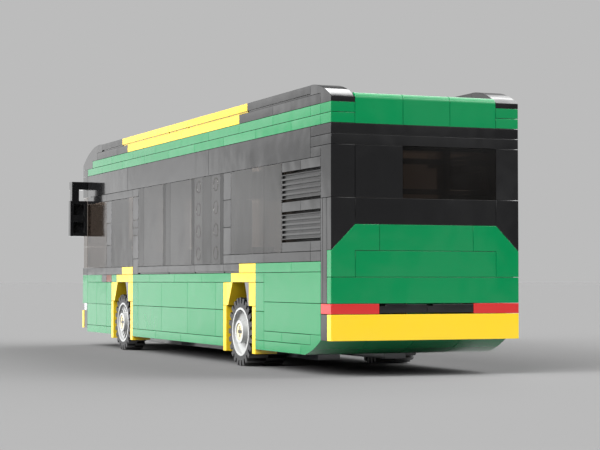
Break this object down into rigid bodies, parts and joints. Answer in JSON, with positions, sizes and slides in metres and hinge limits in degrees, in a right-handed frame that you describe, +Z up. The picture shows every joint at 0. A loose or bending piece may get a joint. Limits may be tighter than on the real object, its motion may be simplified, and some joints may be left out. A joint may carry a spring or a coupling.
{
  "type": "brick-built toy city bus",
  "caption": "Toy single-deck city bus built from interlocking plastic bricks, green, black and yellow, on free-turning wheels.",
  "frame": {"origin": "on the floor, below the middle of the whole model", "axes": "+X forward, +Y to the bus's left, +Z up"},
  "size_m": [0.2887, 0.08, 0.0896],
  "materials": {
    "green": "moulded gloss",
    "yellow": "moulded gloss",
    "black": "moulded gloss",
    "grey": "moulded gloss",
    "light_grey": "moulded gloss",
    "smoke_clear": "clear, smoke brown",
    "red": "moulded gloss",
    "amber_clear": "clear, warm",
    "white": "moulded gloss",
    "tan": "moulded gloss",
    "tyre": "moulded soft rubber"
  },
  "bodies": {
    "bus_body": {"arches": "yellow", "axle_carrier_front": "light_grey", "axle_carrier_rear": "grey", "chassis": "grey", "cornice": "green", "dashboard": "black", "doors_right": "black", "floor": "black", "frame_left": "black", "frame_right": "black", "front_bumper": "yellow", "front_frame": "black", "grilles": "black", "headlamps": "white", "marker_lamps": "amber_clear", "mirrors": "black", "nose_panels": "green", "rail_black": "black", "rail_yellow": "yellow", "rear_bumper": "yellow", "rear_frame": "black", "rear_panels": "green", "rear_underside": "green", "rear_windows": "smoke_clear", "roof_deck": "black", "seats": "grey", "skirt_left": "green", "skirt_right": "green", "tail_lamps": "red", "wheelhouses": "light_grey", "windows_left": "smoke_clear", "windows_right": "smoke_clear", "windscreen": "smoke_clear"},
    "wheel_rear_left": {"tyre_rear_left": "tyre", "rim_rear_left": "light_grey", "pin_rear_left": "tan"},
    "wheel_rear_right": {"tyre_rear_right": "tyre", "rim_rear_right": "light_grey", "pin_rear_right": "tan"},
    "wheel_front_left": {"tyre_front_left": "tyre", "rim_front_left": "light_grey", "pin_front_left": "tan"},
    "wheel_front_right": {"tyre_front_right": "tyre", "rim_front_right": "light_grey", "pin_front_right": "tan"}
  },
  "joints": [
    {"name": "wheel_rear_left_spin", "type": "hinge", "parent": "bus_body", "child": "wheel_rear_left", "pos_m": [-0.0644, 0, 0.0117], "axis": [0, 1, 0], "continuous": true},
    {"name": "wheel_rear_right_spin", "type": "hinge", "parent": "bus_body", "child": "wheel_rear_right", "pos_m": [-0.0644, 0, 0.0117], "axis": [0, 1, 0], "continuous": true},
    {"name": "wheel_front_left_spin", "type": "hinge", "parent": "bus_body", "child": "wheel_front_left", "pos_m": [0.0796, 0, 0.0117], "axis": [0, 1, 0], "continuous": true},
    {"name": "wheel_front_right_spin", "type": "hinge", "parent": "bus_body", "child": "wheel_front_right", "pos_m": [0.0796, 0, 0.0117], "axis": [0, 1, 0], "continuous": true}
  ]
}
